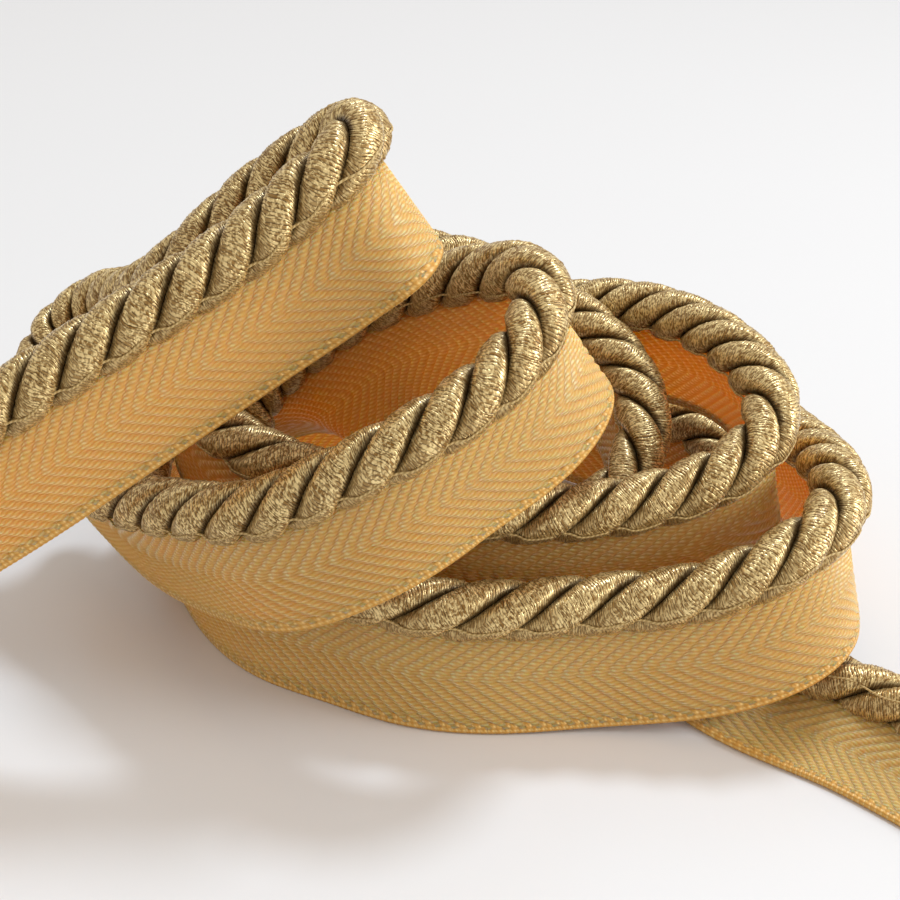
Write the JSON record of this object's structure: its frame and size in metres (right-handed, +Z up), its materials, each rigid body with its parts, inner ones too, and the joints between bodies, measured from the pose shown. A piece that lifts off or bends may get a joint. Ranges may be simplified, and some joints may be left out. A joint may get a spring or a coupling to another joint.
{
  "type": "cord-edged trim",
  "caption": "Twisted three-ply metallic cord sewn edgewise on a herringbone tape, lying in loose leaning coils with a flat tail.",
  "frame": {"origin": "centre of the bounding box's footprint, on the ground plane that the flat tail lies on", "axes": "+Z up, +X along the coil from its raised cut end towards its flat tail, +Y away from the side that the coil's open loops show"},
  "size_m": [0.2306, 0.1522, 0.0989],
  "materials": {
    "cord": "metallic thread with a soft sparkle",
    "tape": "satin herringbone weave"
  },
  "bodies": {
    "root": {"cord": "cord", "tape": "tape"}
  },
  "joints": []
}
